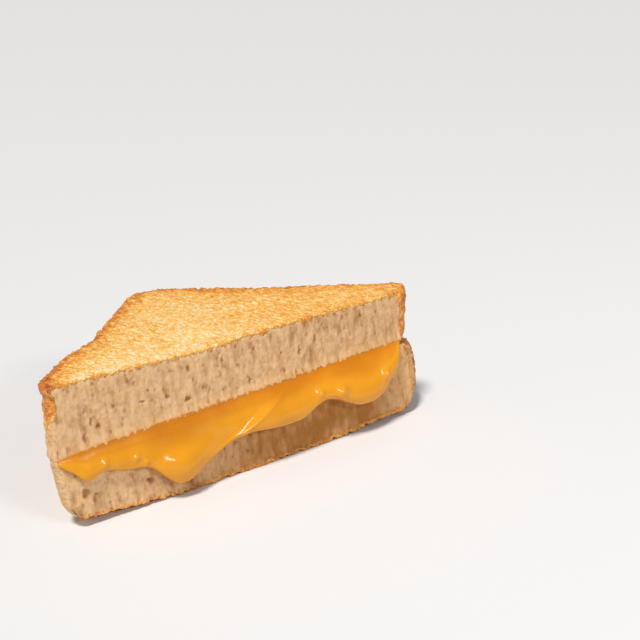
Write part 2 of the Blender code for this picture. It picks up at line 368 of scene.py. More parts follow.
@dataclass(frozen=True)
class GriddledBread:
    """White tin loaf, sliced and fried in butter on a flat griddle.

    The crumb is pale, dry and matt, with painted shade in its pores. Where it met the griddle it has
    turned from straw to gold and amber, crisp, with a little butter in its grain, and at
    the crust it is red brown. Near the cheese the crumb has drunk orange fat; under the
    cheese to the right the lower slice's crumb carries painted shade.
    """
    name: str
    crumb: tuple[str, str] = ("E8C092", "CB9C62")
    browning: tuple[tuple[float, str], ...] = (
        (0.0, "FAE4BC"), (0.14, "F6D69A"), (0.28, "F1C06A"), (0.42, "E9A23E"),
        (0.55, "D58432"), (0.70, "BB6632"), (0.85, "975031"), (1.0, "6B3626"))
    # brown towards which the pore mark darkens the crumb: painted shade in pores, tears and under the
    # cheese
    painted_shade_brown: str = "965A1A"
    fat_and_painted_shade: str = "DD9C48"
    crumb_roughness: float = 0.9
    crisp_roughness: float = 0.45
    speck: float = 0.55
    fine_grain: float = 1.1
    coarse_grain: float = 3.0
    relief: float = 0.45

    def make(self) -> bpy.types.Material:
        """Build the node tree and return the material."""
        material = bpy.data.materials.new(self.name)
        material.use_nodes = True
        tree = material.node_tree
        tree.nodes.clear()
        marks = {mark: add_node(tree, "Attribute", {"attribute_name": mark}).outputs["Fac"]
                 for mark in ("browning", "hollow", "crisp", "fat_and_painted_shade")}
        speck = grain(tree, self.speck, 1.0, (1, 0.6, 1))
        fine = grain(tree, self.fine_grain, 2.0, (1, 0.6, 0.8))
        coarse = grain(tree, self.coarse_grain, 2.0)

        browned = total(tree, marks["browning"], swing(tree, coarse, 0.07),
                        swing(tree, fine, 0.09), swing(tree, speck, 0.09))
        toast = shared_ramp(tree, self.browning, browned)
        clump = total(tree, spread(tree, swing(tree, coarse, 1), 0.25, 0.6),
                      swing(tree, fine, 0.22))
        raw = add_node(tree, "Mix", {"data_type": "RGBA"},
                       {"Factor": clump, "A": linear(self.crumb[0]), "B": linear(self.crumb[1])})
        # painted shade: the crumb darkens towards the brown by the pore mark
        painted_shade_crumb = add_node(tree, "Mix", {"data_type": "RGBA"},
                         {"Factor": marks["hollow"], "A": raw.outputs["Result"],
                          "B": linear(self.painted_shade_brown)})
        skin = total(tree, marks["crisp"], swing(tree, fine, 0.22))
        firm = add_node(tree, "MapRange", inputs={"Value": skin, "From Min": 0.25, "From Max": 0.75,
                                                  "To Min": 0, "To Max": 1})
        baked = add_node(tree, "Mix", {"data_type": "RGBA"},
                         {"Factor": firm.outputs[0], "A": painted_shade_crumb.outputs["Result"], "B": toast})
        # orange fat near the cheese, and a share of the painted shade under it
        fat_and_shade_tinted = add_node(tree, "Mix", {"data_type": "RGBA"},
                       {"Factor": marks["fat_and_painted_shade"], "A": baked.outputs["Result"],
                        "B": linear(self.fat_and_painted_shade)})

        shine = add_node(tree, "Math", {"operation": "MAXIMUM"},
                         {0: firm.outputs[0], 1: marks["fat_and_painted_shade"]})
        roughness = total(tree, spread(tree, shine.outputs[0], self.crumb_roughness,
                                       self.crisp_roughness), swing(tree, speck, 0.1))
        grains = total(tree, spread(tree, coarse, 0, 0.7), spread(tree, fine, 0, 1.0),
                       spread(tree, speck, 0, 0.6))
        height = add_node(tree, "Math", {"operation": "MULTIPLY"},
                          {0: grains, 1: spread(tree, firm.outputs[0], 0.28, 1)})
        bump = add_node(tree, "Bump", inputs={"Strength": 1.0, "Distance": self.relief * MM,
                                              "Height": height.outputs[0]})
        shader = add_node(tree, "BsdfPrincipled", inputs={
            "Base Color": fat_and_shade_tinted.outputs["Result"], "Roughness": roughness,
            "Normal": bump.outputs[0], "IOR": 1.45, "Subsurface Weight": 0.15,
            "Subsurface Radius": (1.0, 0.6, 0.3), "Subsurface Scale": 1.0 * MM})
        add_node(tree, "OutputMaterial", inputs={"Surface": shader.outputs[0]})
        return material


@dataclass(frozen=True)
class MeltedCheddar:
    """Cheddar melted to a thick glossy flow.

    Butterfat comes to its surface, so it is smooth and shines with small hard glints,
    and light goes a few millimetres into it, which keeps its shade side warm. Near the
    seam and under its lip it is painted a deeper orange as painted shade.
    """
    name: str = "melted_cheddar"
    body: str = "E2991F"
    painted_shade_tone: str = "C8780C"
    gloss: float = 0.1
    patch: float = 14
    ripple: float = 3.2

    def make(self) -> bpy.types.Material:
        """Build the node tree and return the material."""
        material = bpy.data.materials.new(self.name)
        material.use_nodes = True
        tree = material.node_tree
        tree.nodes.clear()
        # painted shade: the cheese is darker orange near the seam and under the lip
        depth = add_node(tree, "Attribute", {"attribute_name": "cheese_painted_shade"}).outputs["Fac"]
        patch = swing(tree, grain(tree, self.patch, 1.0), 0.15)
        mixed = add_node(tree, "Mix", {"data_type": "RGBA"},
                         {"Factor": total(tree, depth, patch), "A": linear(self.body),
                          "B": linear(self.painted_shade_tone)})
        gloss = total(tree, spread(tree, depth, 0, 0.2),
                      spread(tree, grain(tree, self.ripple * 0.5), self.gloss - 0.05,
                             self.gloss + 0.1))
        bump = add_node(tree, "Bump", inputs={"Strength": 0.35, "Distance": 0.12 * MM,
                                              "Height": grain(tree, self.ripple, 2.0)})
        shader = add_node(tree, "BsdfPrincipled", inputs={
            "Base Color": mixed.outputs["Result"], "Roughness": gloss,
            "Normal": bump.outputs[0], "IOR": 1.42, "Specular IOR Level": 0.47,
            "Subsurface Weight": 0.2,
            "Subsurface Radius": (1.0, 0.45, 0.1), "Subsurface Scale": 1.5 * MM})
        add_node(tree, "OutputMaterial", inputs={"Surface": shader.outputs[0]})
        return material


@dataclass(frozen=True)
class PaleTable:
    """Smooth pale laminate that the sandwich lies on: matt and almost white."""
    name: str = "pale_laminate"
    colour: str = "E3E5E8"

    def make(self) -> bpy.types.Material:
        """Build the node tree and return the material."""
        material = bpy.data.materials.new(self.name)
        material.use_nodes = True
        shader = material.node_tree.nodes["Principled BSDF"]
        shader.inputs["Base Color"].default_value = linear(self.colour)
        shader.inputs["Roughness"].default_value = 0.9
        return material


# ---------------------------------------------------------------- shape of the sandwich

@dataclass(frozen=True)
class LoafSlice:
    """Outline of a slice in plan: tin loaf with a domed top that rose over the tin.

    In the slice's own plane u runs across from the left side and v up from the bottom.
    """
    width: float = 106.8
    shoulder: tuple[float, float, float] = (-5.8, 104, 6.5)
    lobe: tuple[float, float, float] = (-4.4, 76, 30)
    notch: tuple[float, float, float] = (0, 62, 5)
    near_corner: tuple[float, float, float] = (0, 0, 12)
    far_drop: float = 2.3
    far_radius: float = 4
    crown: tuple[float, float] = (110, 90)
    hollow: tuple[float, float] = (1.6, 150)
    lean: float = math.radians(7)
    place: tuple[float, float] = (74.55, 73.51)
    turn: float = math.radians(-38.4)
    arc_step: float = math.radians(2)

    def rounded(self, before: np.ndarray, corner: np.ndarray, after: np.ndarray,
                radius: float) -> np.ndarray:
        """Points of the arc that touches both sides of a corner.

        The arc's centre lies on the corner's bisector at radius / sin(half the opening),
        and the arc turns by what the opening lacks from a half turn.
        """
        start = (before - corner) / np.linalg.norm(before - corner)
        end = (after - corner) / np.linalg.norm(after - corner)
        opening = math.acos(float(np.clip(start @ end, -1, 1)))
        bisector = (start + end) / np.linalg.norm(start + end)
        centre = corner + bisector * radius / math.sin(opening / 2)
        arm = corner + start * radius / math.tan(opening / 2) - centre
        sweep = math.pi - opening
        if arm[0] * start[1] - arm[1] * start[0] > 0:
            sweep = -sweep
        angle = np.linspace(0, sweep, max(3, round(abs(sweep) / self.arc_step)))
        return np.stack([centre[0] + arm[0] * np.cos(angle) - arm[1] * np.sin(angle),
                         centre[1] + arm[0] * np.sin(angle) + arm[1] * np.cos(angle)], axis=-1)

    def outline(self) -> np.ndarray:
        """Closed outline of the whole slice, placed with the cut along y = 0."""
        side = [self.notch, self.lobe, self.shoulder]
        corners = [self.near_corner, *side, (self.width / 2, *self.crown)]
        corners += [(self.width - u, v, radius) for u, v, radius in reversed(side)]
        corners += [(self.width, -self.far_drop, self.far_radius),
                    (self.width / 2, *self.hollow)]
        points = np.array(corners)[:, :2]
        arcs = [self.rounded(points[i - 1], points[i], points[(i + 1) % len(points)],
                             corners[i][2]) for i in range(len(points))]
        u, v = np.concatenate(arcs).T
        u = u - v * math.tan(self.lean)
        cos, sin = math.cos(self.turn), math.sin(self.turn)
        return np.stack([self.place[0] + u * cos + v * sin,
                         self.place[1] + u * sin - v * cos], axis=-1)

    def crust_line(self, count: int) -> np.ndarray:
        """Evenly spaced points of the crust behind the cut, from its left to its right end."""
        points = self.outline()
        behind = points[:, 1] > 0
        start = int(np.flatnonzero(behind & ~np.roll(behind, 1))[0])
        points, behind = np.roll(points, -start, axis=0), np.roll(behind, -start)
        kept = points[:int(np.flatnonzero(~behind)[0])]

        def crossing(inner: np.ndarray, outer: np.ndarray) -> np.ndarray:
            """Where the side between two points meets the cut."""
            return outer + (inner - outer) * (0 - outer[1]) / (inner[1] - outer[1])

        kept = np.concatenate([[crossing(kept[0], points[-1])], kept,
                               [crossing(kept[-1], points[len(kept)])]])
        if kept[0, 0] > kept[-1, 0]:
            kept = kept[::-1]
        step = np.concatenate([[0], np.cumsum(np.linalg.norm(np.diff(kept, axis=0), axis=1))])
        even = np.linspace(0, step[-1], count)
        return np.stack([np.interp(even, step, kept[:, i]) for i in (0, 1)], axis=-1)


@dataclass(frozen=True)
class Stack:
    """Heights of the pressed sandwich above the table, and how its slices lie."""
    length: float = 150
    slab: float = 22
    top: float = 49.4
    top_rise: float = 2.4
    back_rise: float = 0.6
    seam: float = 26.2
    seam_rise: float = 6.9
    droop: float = 1.3
    gap: float = 0.3
    cheese: float = 4.6
    shift: tuple[float, float] = (1.8, -0.4)
    lean: tuple[float, float] = (3.6, -0.9)

    def top_height(self, x: np.ndarray, y: np.ndarray) -> np.ndarray:
        """Toasted face: a plane that rises to the right, with a shallow dip at the cut."""
        plane = self.top + self.top_rise * x / self.length + self.back_rise * ease(0, 40, y)
        return plane - 1.2 * bell(x - 53, 14) * bell(y, 9)

    def seam_height(self, x: np.ndarray) -> np.ndarray:
        """Underside of the top slice, drooping at the left end."""
        return (self.seam + self.seam_rise * x / self.length
                - self.droop * np.exp(-np.abs(x) / 6))

    def bed_height(self, x: np.ndarray) -> np.ndarray:
        """Upper face of the lower slice: the seam less the cheese, pinched at both ends."""
        room = ease(-2, 20, x) * ease(154, 132, x)
        return (self.seam_height(x) - self.gap - (self.cheese - self.gap) * room
                - 3 * ease(140, 156, x))

    def base_height(self, x: np.ndarray) -> np.ndarray:
        """Underside: flat in the middle and lifted towards both points."""
        return 3.6 * ease(50, -10, x) + 3.0 * ease(98, 160, x)

    def press_upper(self, x: np.ndarray, y: np.ndarray, level: np.ndarray) -> np.ndarray:
        """Final places of points of the top slice; level is 0 at its foot and 1 on top."""
        low, high = self.seam_height(x) - 0.6 * ease(8, 1, x), self.top_height(x, y)
        tuck = 1.7 * ease(22, 2, x) * ease(1, 0.8, level)
        return np.stack([x + tuck, y, low + (high - low) * level], axis=-1)

    def press_lower(self, x: np.ndarray, y: np.ndarray, level: np.ndarray) -> np.ndarray:
        """Final places of points of the lower slice, which leans out and bellies at the right."""
        low, high = self.base_height(x), self.bed_height(x)
        push = [self.shift[i] + self.lean[i] * (1 - level) for i in (0, 1)]
        belly = 2.4 * ease(142, 156, x) * np.sin(math.pi * np.clip(level, 0, 1))
        return np.stack([x + push[0] + belly, y + push[1], low + (high - low) * level], axis=-1)

    def lower_face(self, x: np.ndarray, z: np.ndarray) -> np.ndarray:
        """Place in y of the lower slice's cut face at a height."""
        level = np.clip(z / self.bed_height(x - self.shift[0]), 0, 1)
        return self.shift[1] + self.lean[1] * (1 - level)


class Zone(Enum):
    """Parts of a slice's section, in order round it."""
    CUT = 0
    TOP = 1
    UPPER_EDGE = 2
    WALL = 3
    LOWER_EDGE = 4
    UNDER = 5


@dataclass
class Ruling:
    """Lines in plan from the cut to the crust, one for each section of a piece."""
    stack: Stack
    front: np.ndarray
    back: np.ndarray
    crust: np.ndarray
    start: float
    depth: np.ndarray = field(init=False)
    along: np.ndarray = field(init=False)
    outward: np.ndarray = field(init=False)
    slant: np.ndarray = field(init=False)

    def __post_init__(self) -> None:
        """Work out length, direction, crust normal and slant of each line."""
        arm = self.back - self.front
        self.depth = np.linalg.norm(arm, axis=1)
        self.along = arm / self.depth[:, None]
        run = np.gradient(self.back, axis=0)
        run /= np.linalg.norm(run, axis=1, keepdims=True)
        self.outward = np.stack([-run[:, 1], run[:, 0]], axis=-1)
        self.slant = np.clip((self.along * self.outward).sum(axis=1), 0.5, 1)

    def crust_distance(self, x: np.ndarray, y: np.ndarray) -> np.ndarray:
        """Distance in plan from each place to the crust line."""
        shape = np.broadcast(x, y).shape
        place = np.stack(np.broadcast_arrays(x, y), axis=-1).reshape(-1, 2)
        sample = self.crust[::3]
        nearest = [np.sqrt(((part[:, None] - sample[None]) ** 2).sum(axis=-1).min(axis=1))
                   for part in np.array_split(place, 40)]
        return np.concatenate(nearest).reshape(shape)


def ruling(stack: Stack, loaf: LoafSlice, shares: np.ndarray) -> Ruling:
    """Rule lines from the cut to the crust at given shares of both lengths.

    Args:
        stack: heights of the sandwich.
        loaf: the slice's outline.
        shares: 0 at the left end of the cut and of the crust, 1 at their right end.

    Returns:
        The ruling.
    """
    crust = loaf.crust_line(1801)
    left, right = crust[0], crust[-1]
    place = np.linspace(0, 1, len(crust))
    back = np.stack([np.interp(shares, place, crust[:, i]) for i in (0, 1)], axis=-1)
    front = left + (right - left) * shares[:, None]
    return Ruling(stack, front, back, crust, float(crust[:, 0].min()))


@dataclass(frozen=True)
class Tear:
    """A hole torn in the cut: its place along the cut and above the table, its size."""
    x: float
    z: float
    half_width: float
    half_height: float
    depth: float

    def bowl(self, x: np.ndarray, z: np.ndarray) -> np.ndarray:
        """1 in its middle, falling to 0 at its elliptical edge."""
        away = ((x - self.x) / self.half_width) ** 2 + ((z - self.z) / self.half_height) ** 2
        return np.clip(1 - away, 0, 1) ** 1.3


@dataclass
class BreadSlice:
    """One griddled slice: a closed tube of sections from the cut to the crust."""
    name: str
    node: str
    upper: bool
    seed: int
    lower_radius: float
    upper_radius: float
    coarseness: float
    rows: dict[Zone, int]
    tears: tuple[Tear, ...]
    finish: GriddledBread
    columns: int = 560
    end_share: float = 0.001
    tooth: float = 2.4

    def section(self, lines: Ruling) -> tuple[np.ndarray, np.ndarray, np.ndarray]:
        """Rows of every section: place along the line, level, and zone.

        Up the cut face, back over the top, round the upper crust edge, down the wall,
        round the lower edge and forwards along the underside. The level of the faces
        falls off near the crust as a quarter circle of the distance from it, on the cut
        as well, so that the cut's own corners are round. The edges at the seam are less
        round at the left end, where the slices are pressed together.
        """
        slab, depth, slant = lines.stack.slab, lines.depth[:, None], lines.slant[:, None]

        def share(zone: Zone) -> np.ndarray:
            """Even shares from 0 towards 1 for the rows of a zone."""
            return (np.arange(self.rows[zone]) / self.rows[zone])[None, :]

        def rounded(along: np.ndarray, radius: np.ndarray) -> np.ndarray:
            """How much of the level the rounded crust edge takes off."""
            inside = np.clip(radius - (depth - along) * slant, 0, radius)
            return (radius - np.sqrt(radius ** 2 - inside ** 2)) / slab

        closed = 0.25 + 0.75 * ease(0, 0.07, np.linspace(0, 1, len(depth)))[:, None]
        upper_radius = self.upper_radius * (1 if self.upper else closed)
        lower_radius = self.lower_radius * (closed if self.upper else 1)
        upper = np.minimum(upper_radius / slant, 0.8 * depth)
        lower = np.minimum(lower_radius / slant, 0.8 * depth)
        turn = share(Zone.UPPER_EDGE) * math.pi / 2
        back_turn = share(Zone.LOWER_EDGE) * math.pi / 2
        along = {
            Zone.CUT: 0 * depth + 0 * share(Zone.CUT),
            Zone.TOP: (depth - upper) * share(Zone.TOP),
            Zone.UPPER_EDGE: depth - upper * (1 - np.sin(turn)),
            Zone.WALL: depth + 0 * share(Zone.WALL),
            Zone.LOWER_EDGE: depth - lower * (1 - np.cos(back_turn)),
            Zone.UNDER: (depth - lower) * (1 - share(Zone.UNDER)),
        }
        high = {zone: 1 - rounded(along[zone], upper_radius) for zone in Zone}
        low = {zone: rounded(along[zone], lower_radius) for zone in Zone}
        level = {
            Zone.CUT: low[Zone.CUT] + (high[Zone.CUT] - low[Zone.CUT]) * share(Zone.CUT),
            Zone.TOP: high[Zone.TOP],
            Zone.UPPER_EDGE: high[Zone.UPPER_EDGE],
            Zone.WALL: high[Zone.WALL] + (low[Zone.WALL] - high[Zone.WALL]) * share(Zone.WALL),
            Zone.LOWER_EDGE: low[Zone.LOWER_EDGE],
            Zone.UNDER: low[Zone.UNDER],
        }
        zones = np.concatenate([np.full(self.rows[zone], zone.value) for zone in Zone])
        return (np.concatenate([along[zone] for zone in Zone], axis=1),
                np.concatenate([level[zone] for zone in Zone], axis=1), zones)

    def build(self, lines: Ruling, origin: np.ndarray) -> bpy.types.Object:
        """Press the sections to their place, give them relief and marks, and fill the mesh.

        Relief is a displacement along the normals in mm, the sum of the zones' own
        patterns, each weighted with its zone's softened share, and less towards the two
        thin ends.
        """
        along, level, zones = self.section(lines)
        x = lines.front[:, :1] + lines.along[:, :1] * along
        y = lines.front[:, 1:] + lines.along[:, 1:] * along
        press = lines.stack.press_upper if self.upper else lines.stack.press_lower
        points = press(x, y, level)

        def weight(*members: Zone) -> np.ndarray:
            """Softened share of some zones, for every row."""
            inside = np.isin(zones, [zone.value for zone in members]).astype(float)[None, :]
            return soften(inside, 2)

        cut, wall = weight(Zone.CUT), weight(Zone.WALL, Zone.UPPER_EDGE, Zone.LOWER_EDGE)
        faces = weight(Zone.TOP), weight(Zone.UNDER)
        toasted, inner = faces if self.upper else faces[::-1]
        normals = tube_normals(points)
        room = np.clip(lines.depth / 5, 0, 1)[:, None]

        crumb = self.crumb_relief(points)
        toast = self.toast_relief(points)
        crust = self.crust_relief(points)
        smooth = 1 if self.upper else ease(0.03, 0.12, np.linspace(0, 1, len(lines.depth)))[:, None]
        relief = (cut * crumb["height"] + (toasted + inner) * toast["height"]
                  + wall * crust["height"] * (0.25 + 0.75 * smooth))
        moved = points + normals * (relief * room)[..., None]
        moved = self.ragged_edges(moved, points, lines, along, room)

        edge = lines.crust_distance(x, y)
        marks = self.marks(points, lines, edge, level,
                           {"cut": cut, "wall": wall, "toasted": toasted, "inner": inner},
                           {"crumb": crumb, "toast": toast, "crust": crust})
        fold = self.rows[Zone.CUT] + self.rows[Zone.TOP] // 2
        piece = tube_mesh(self.name, moved, marks, origin, fold)
        piece.data.materials.append(self.finish.make())
        return piece

    def crumb_relief(self, points: np.ndarray) -> dict[str, np.ndarray]:
        """Torn crumb of the cut: soft lumps, faint upright strips and pores of two sizes.

        The pores' places are shifted by noise first, so that none is a plain round bowl,
        and they crowd in the hollows between the strips. To the right the loaf was drawn
        up more as it rose, so the strips show more there.
        """
        slanted = points.copy()
        slanted[..., 0] += 0.14 * points[..., 2]
        strips = noise(slanted, (2.8, 4.5, 10), self.seed, 2)
        lumps = noise(points, (3.0, 3.0, 3.6), self.seed + 2, 2)
        warp = np.stack([noise(slanted, 1.8, self.seed + 50 + axis, 2) for axis in range(3)],
                        axis=-1)
        warped = slanted + 1.0 * warp
        crowd = 0.3 + 0.7 * ease(0.3, -0.2, strips)
        large = pits(warped, 3.8, (1, 1, 1.7), (0.8, 1.8), 0.9, self.seed + 3) * crowd
        middle = pits(warped, 2.0, (1, 1, 1.5), (0.5, 1.0), 0.95, self.seed + 4) * crowd
        rise = self.coarseness * (0.3 * strips + 0.2 * lumps)
        height = rise - 0.5 * large - 0.2 * middle
        drawn = 0.1 + 0.5 * ease(30, 110, points[..., 0])
        # painted shade: the pore mark is darker in pores and on low parts of the relief, lighter on
        # raised lumps and strips
        hollow = 0.95 * large + 0.85 * middle - 1.1 * rise - drawn * strips + 0.02
        for tear in self.tears:
            bowl = tear.bowl(warped[..., 0] - 0.14 * tear.z, points[..., 2] + 1.2 * warp[..., 2])
            height = height - 0.6 * tear.depth * bowl
            # painted shade in the torn hole
            hollow = np.maximum(hollow, 0.62 * tear.depth * bowl)
        return {"height": height, "hollow": np.clip(hollow, 0, 1), "strips": strips}

    def toast_relief(self, points: np.ndarray) -> dict[str, np.ndarray]:
        """Griddled face: flattened crumb with coarse grain, pits and slow waves."""
        waves = noise(points, 17, self.seed + 10)
        grains = noise(points, (1.6, 2.5, 1.6), self.seed + 11, 2)
        warp = np.stack([noise(points, 2.2, self.seed + 60 + axis) for axis in range(3)],
                        axis=-1)
        large = pits(points + 1.2 * warp, 5.2, (1, 1.2, 1), (0.8, 2.1), 0.6, self.seed + 12)
        small = pits(points + 0.7 * warp, 2.4, (1, 1.2, 1), (0.5, 1.1), 0.7, self.seed + 13)
        height = 0.35 * waves + 0.45 * grains - 0.6 * large - 0.5 * small
        return {"height": height, "pit": np.clip(large + 0.7 * small, 0, 1), "grain": grains}

    def crust_relief(self, points: np.ndarray) -> dict[str, np.ndarray]:
        """Side crust: fine upright wrinkles from the tin over slow swells and small knobs."""
        swell = noise(points, 9, self.seed + 20, 2)
        wrinkle = noise(points, (1.1, 1.1, 5.5), self.seed + 21, 2)
        knobs = noise(points, 1.7, self.seed + 23, 2)
        dimple = pits(points, 3.2, (1, 1, 1.5), (0.4, 1.1), 0.4, self.seed + 22)
        return {"height": 0.3 * swell + 0.18 * wrinkle + 0.9 * knobs - 0.4 * dimple,
                "wrinkle": wrinkle, "pit": dimple, "knobs": knobs}

    def ragged_edges(self, moved: np.ndarray, points: np.ndarray, lines: Ruling,
                     along: np.ndarray, room: np.ndarray) -> np.ndarray:
        """Tear the edges of the cut.

        Teeth are noise along the cut, steepened, in a coarse and a fine size. On the top
        slice they hang down over the cheese as fingers of crumb; on the lower slice they
        are notches that go up. Their effect dies away within about 2 mm of the edge. The
        toasted edge on top is uneven by a third as much.
        """
        x = points[..., 0]
        line = np.stack([x, np.zeros_like(x), np.zeros_like(x)], axis=-1)
        size = 0.75 + 0.7 * noise(line, 6, self.seed + 31)
        teeth = np.clip(ease(-0.3, 0.45, noise(line, self.tooth, self.seed + 30)) * size
                        + 0.5 * noise(line, 1.0, self.seed + 34), 0, 1.3)
        slow = noise(line, 8, self.seed + 35)
        stack = lines.stack
        foot = stack.seam_height(x) if self.upper else stack.base_height(x)
        near_cut = np.exp(-np.clip(along, 0, None) ** 2 / 1.6) * room
        near = np.exp(-(np.clip(points[..., 2] - foot, 0, None) / 1.5) ** 2) * near_cut
        moved = moved.copy()
        upright = np.stack([0 * x, 0 * x, points[..., 2]], axis=-1)
        ends = np.exp(-(lines.depth[:, None] / 1.5) ** 2)
        moved[..., 0] += 0.9 * noise(upright, 3.6, self.seed + 36) * ends
        if self.upper:
            moved[..., 2] -= (0.35 + 1.0 * teeth + 0.4 * slow) * near
            moved[..., 1] -= (0.5 + 0.2 * ease(30, 110, x) + 0.35 * teeth) * near
            crown = stack.top_height(x, points[..., 1]) - points[..., 2]
            brow = np.exp(-(np.clip(crown, 0, None) / 1.2) ** 2) * near_cut
            moved[..., 2] += 0.4 * noise(line, 2.6, self.seed + 32, 3) * brow
            moved[..., 1] += (0.4 - 0.15 * noise(line, 2.6, self.seed + 33, 2)) * brow
        else:
            moved[..., 2] += np.clip(1.15 * teeth + 0.5 * slow, 0, None) * near
            moved[..., 2] = np.maximum(moved[..., 2], 0)
        return moved

    def marks(self, points: np.ndarray, lines: Ruling, edge: np.ndarray, level: np.ndarray,
              part: dict[str, np.ndarray], relief: dict[str, dict[str, np.ndarray]]
              ) -> dict[str, np.ndarray]:
        """Values for the material at every point.

        browning: 0 for the palest toast to 1 for the darkest crust.
        crisp: 1 on griddled and crust surfaces, 0 on crumb.
        hollow: painted shade in pores, tears and low places of the crumb, and the painted shade that
        darkens the lower slice's crumb under the cheese.
        fat_and_painted_shade: 1 where the crumb has drunk orange fat beside the cheese; a share of
        the painted shade under the cheese browns it too.
        """
        stack = lines.stack
        x, y, z = points[..., 0], points[..., 1], points[..., 2]
        line = np.stack([x, 0 * x, 0 * x], axis=-1)
        share = np.linspace(0, 1, len(lines.depth))[:, None]
        wander = noise(points, 2.0, self.seed + 40, 2)
        blotch = noise(points, 5.5, self.seed + 42, 2)
        slow = noise(points, 19, self.seed + 41, 2)
        left, right = ease(0.13, 0.03, share + 0.05 * blotch), ease(0.975, 0.992, share)
        toast, crust, crumb = relief["toast"], relief["crust"], relief["crumb"]

        rim_side = 0.35 + 0.65 * ease(0.8, 0.5, share)
        frayed = np.maximum(edge + 1.8 * wander + 1.2 * blotch, 0)
        rim = rim_side * (0.23 * np.exp(-(frayed / 5.5) ** 2) + 0.13 * np.exp(-frayed / 10)
                          + 0.3 * np.exp(-(frayed / 1.7) ** 2))
        scorch = ease(-0.15, 0.3, noise(line, 6.5, self.seed + 43, 3))
        # painted shade and painted highlight: the toast is darker in its pits and paler on its raised
        # grain
        griddled = (0.23 + 0.09 * ease(50, 125, x) + 0.05 * slow + 0.22 * toast["pit"]
                    - 0.07 * toast["grain"] + rim * (1 + 1.3 * wander)
                    - 0.1 * np.exp(-(y / 9) ** 2) * ease(70, 20, x)
                    + 0.2 * np.exp(-(x / 5) ** 2)
                    + 0.2 * scorch * np.exp(-(y / 1.6) ** 2))
        wall = (0.53 + 0.1 * slow + 0.13 * blotch + 0.09 * wander + 0.14 * crust["wrinkle"]
                + 0.1 * crust["pit"])
        ragged = 0.18 * (wander + blotch)
        if self.upper:
            wall = wall + left * (0.1 * ease(0.7, 0.95, level) - 0.24 * ease(0.8, 0.35, level))
            bare = 0.9 * left * ease(0.6, 0.2, level + ragged - 0.2 * ease(2.5, 0.5, y))
            outer, face = stack.top_height(x, y) - z, 0.36 + 0.12 * scorch
            skin = np.exp(-(np.clip(outer + 0.8 * wander, 0, None) / (0.8 + 0.9 * scorch)) ** 2)
            painted_shade, oily = 0, 0
        else:
            griddled = griddled + 0.2
            wall = wall - 0.33 * ease(0.24, 0.05, share + 0.05 * blotch)
            bare = np.maximum(0.75 * left, 0.8 * right) * ease(0.02, 0.12, level + 0.3 * ragged)
            bare = bare * (1 - 0.5 * right * ease(-0.2, 0.3, wander))
            outer, face = z - stack.base_height(x), 0.5 + 0.2 * wander
            skin = np.exp(-(np.clip(outer + 0.8 * wander, 0, None) / 1.7) ** 2)
            # painted shade: darker, browner crumb on the lower slice under the cheese, most from x =
            # 60 to 128, standing in for shadow
            painted_shade = (0.3 * ease(25, 60, x) + 0.55 * ease(60, 85, x)) * ease(148, 128, x)
            oily = 0.25 * ease(130, 148, x)
        spread_out = 1.6 + 2.2 * ease(0.5, 0.95, level) if self.upper else 1.2
        width = 0.8 + spread_out * ease(0.3, 0.7, share)
        band = ease(1.3, 0.6, (edge + 0.6 * wander) / width) * (1 - bare)

        cut_brown = (band * wall + skin * face) / (band + skin + 0.001)
        browning = (part["cut"] * cut_brown + part["toasted"] * griddled
                    + part["wall"] * wall + part["inner"] * 0.1)
        crisp = (part["cut"] * np.maximum(band, skin) + part["toasted"]
                 + part["wall"] * (1 - bare))
        to_cheese = (z - stack.seam_height(x)) if self.upper else (stack.bed_height(x) - z)
        fat_and_painted_shade = 0.7 * ((part["cut"] * ease(1.5, 4.5, edge) + part["inner"])
                  * np.exp(-np.clip(to_cheese + 0.5 * wander, 0, None) / 0.9))
        # a share of the painted shade also browns the crumb through the orange fat colour
        fat_and_painted_shade = np.maximum(fat_and_painted_shade, (0.3 * painted_shade + oily) * part["cut"])
        # painted shade made patchy, plus some towards the right on both slices; it darkens the crumb
        # through the pore mark
        painted_shade = painted_shade * (1 + 0.5 * blotch - 0.5 * crumb["strips"]) + 0.1 * ease(60, 140, x)
        hollow = part["cut"] * (1 - (1 - crumb["hollow"]) * (1 - np.clip(painted_shade, 0, 1)))
        return {"browning": np.clip(browning, 0, 1), "crisp": np.clip(crisp, 0, 1),
                "hollow": np.clip(hollow, 0, 1), "fat_and_painted_shade": np.clip(fat_and_painted_shade, 0, 1)}


@dataclass(frozen=True)
class Swell:
    """A rounded belly in the curtain, a bell in both directions, in mm."""
    place: float
    below: float
    half_width: float
    half_height: float
    rise: float


@dataclass(frozen=True)
class Fold:
    """A crease in the curtain from one place to another, given along the cut and below
    the seam. The side to its right stands higher by the rise and dies away slowly."""
    start: tuple[float, float]
    end: tuple[float, float]
    rise: float
    steep: float = 1.5
    reach: float = 14.0
    crest: float = 0.22
    crest_width: float = 0.6


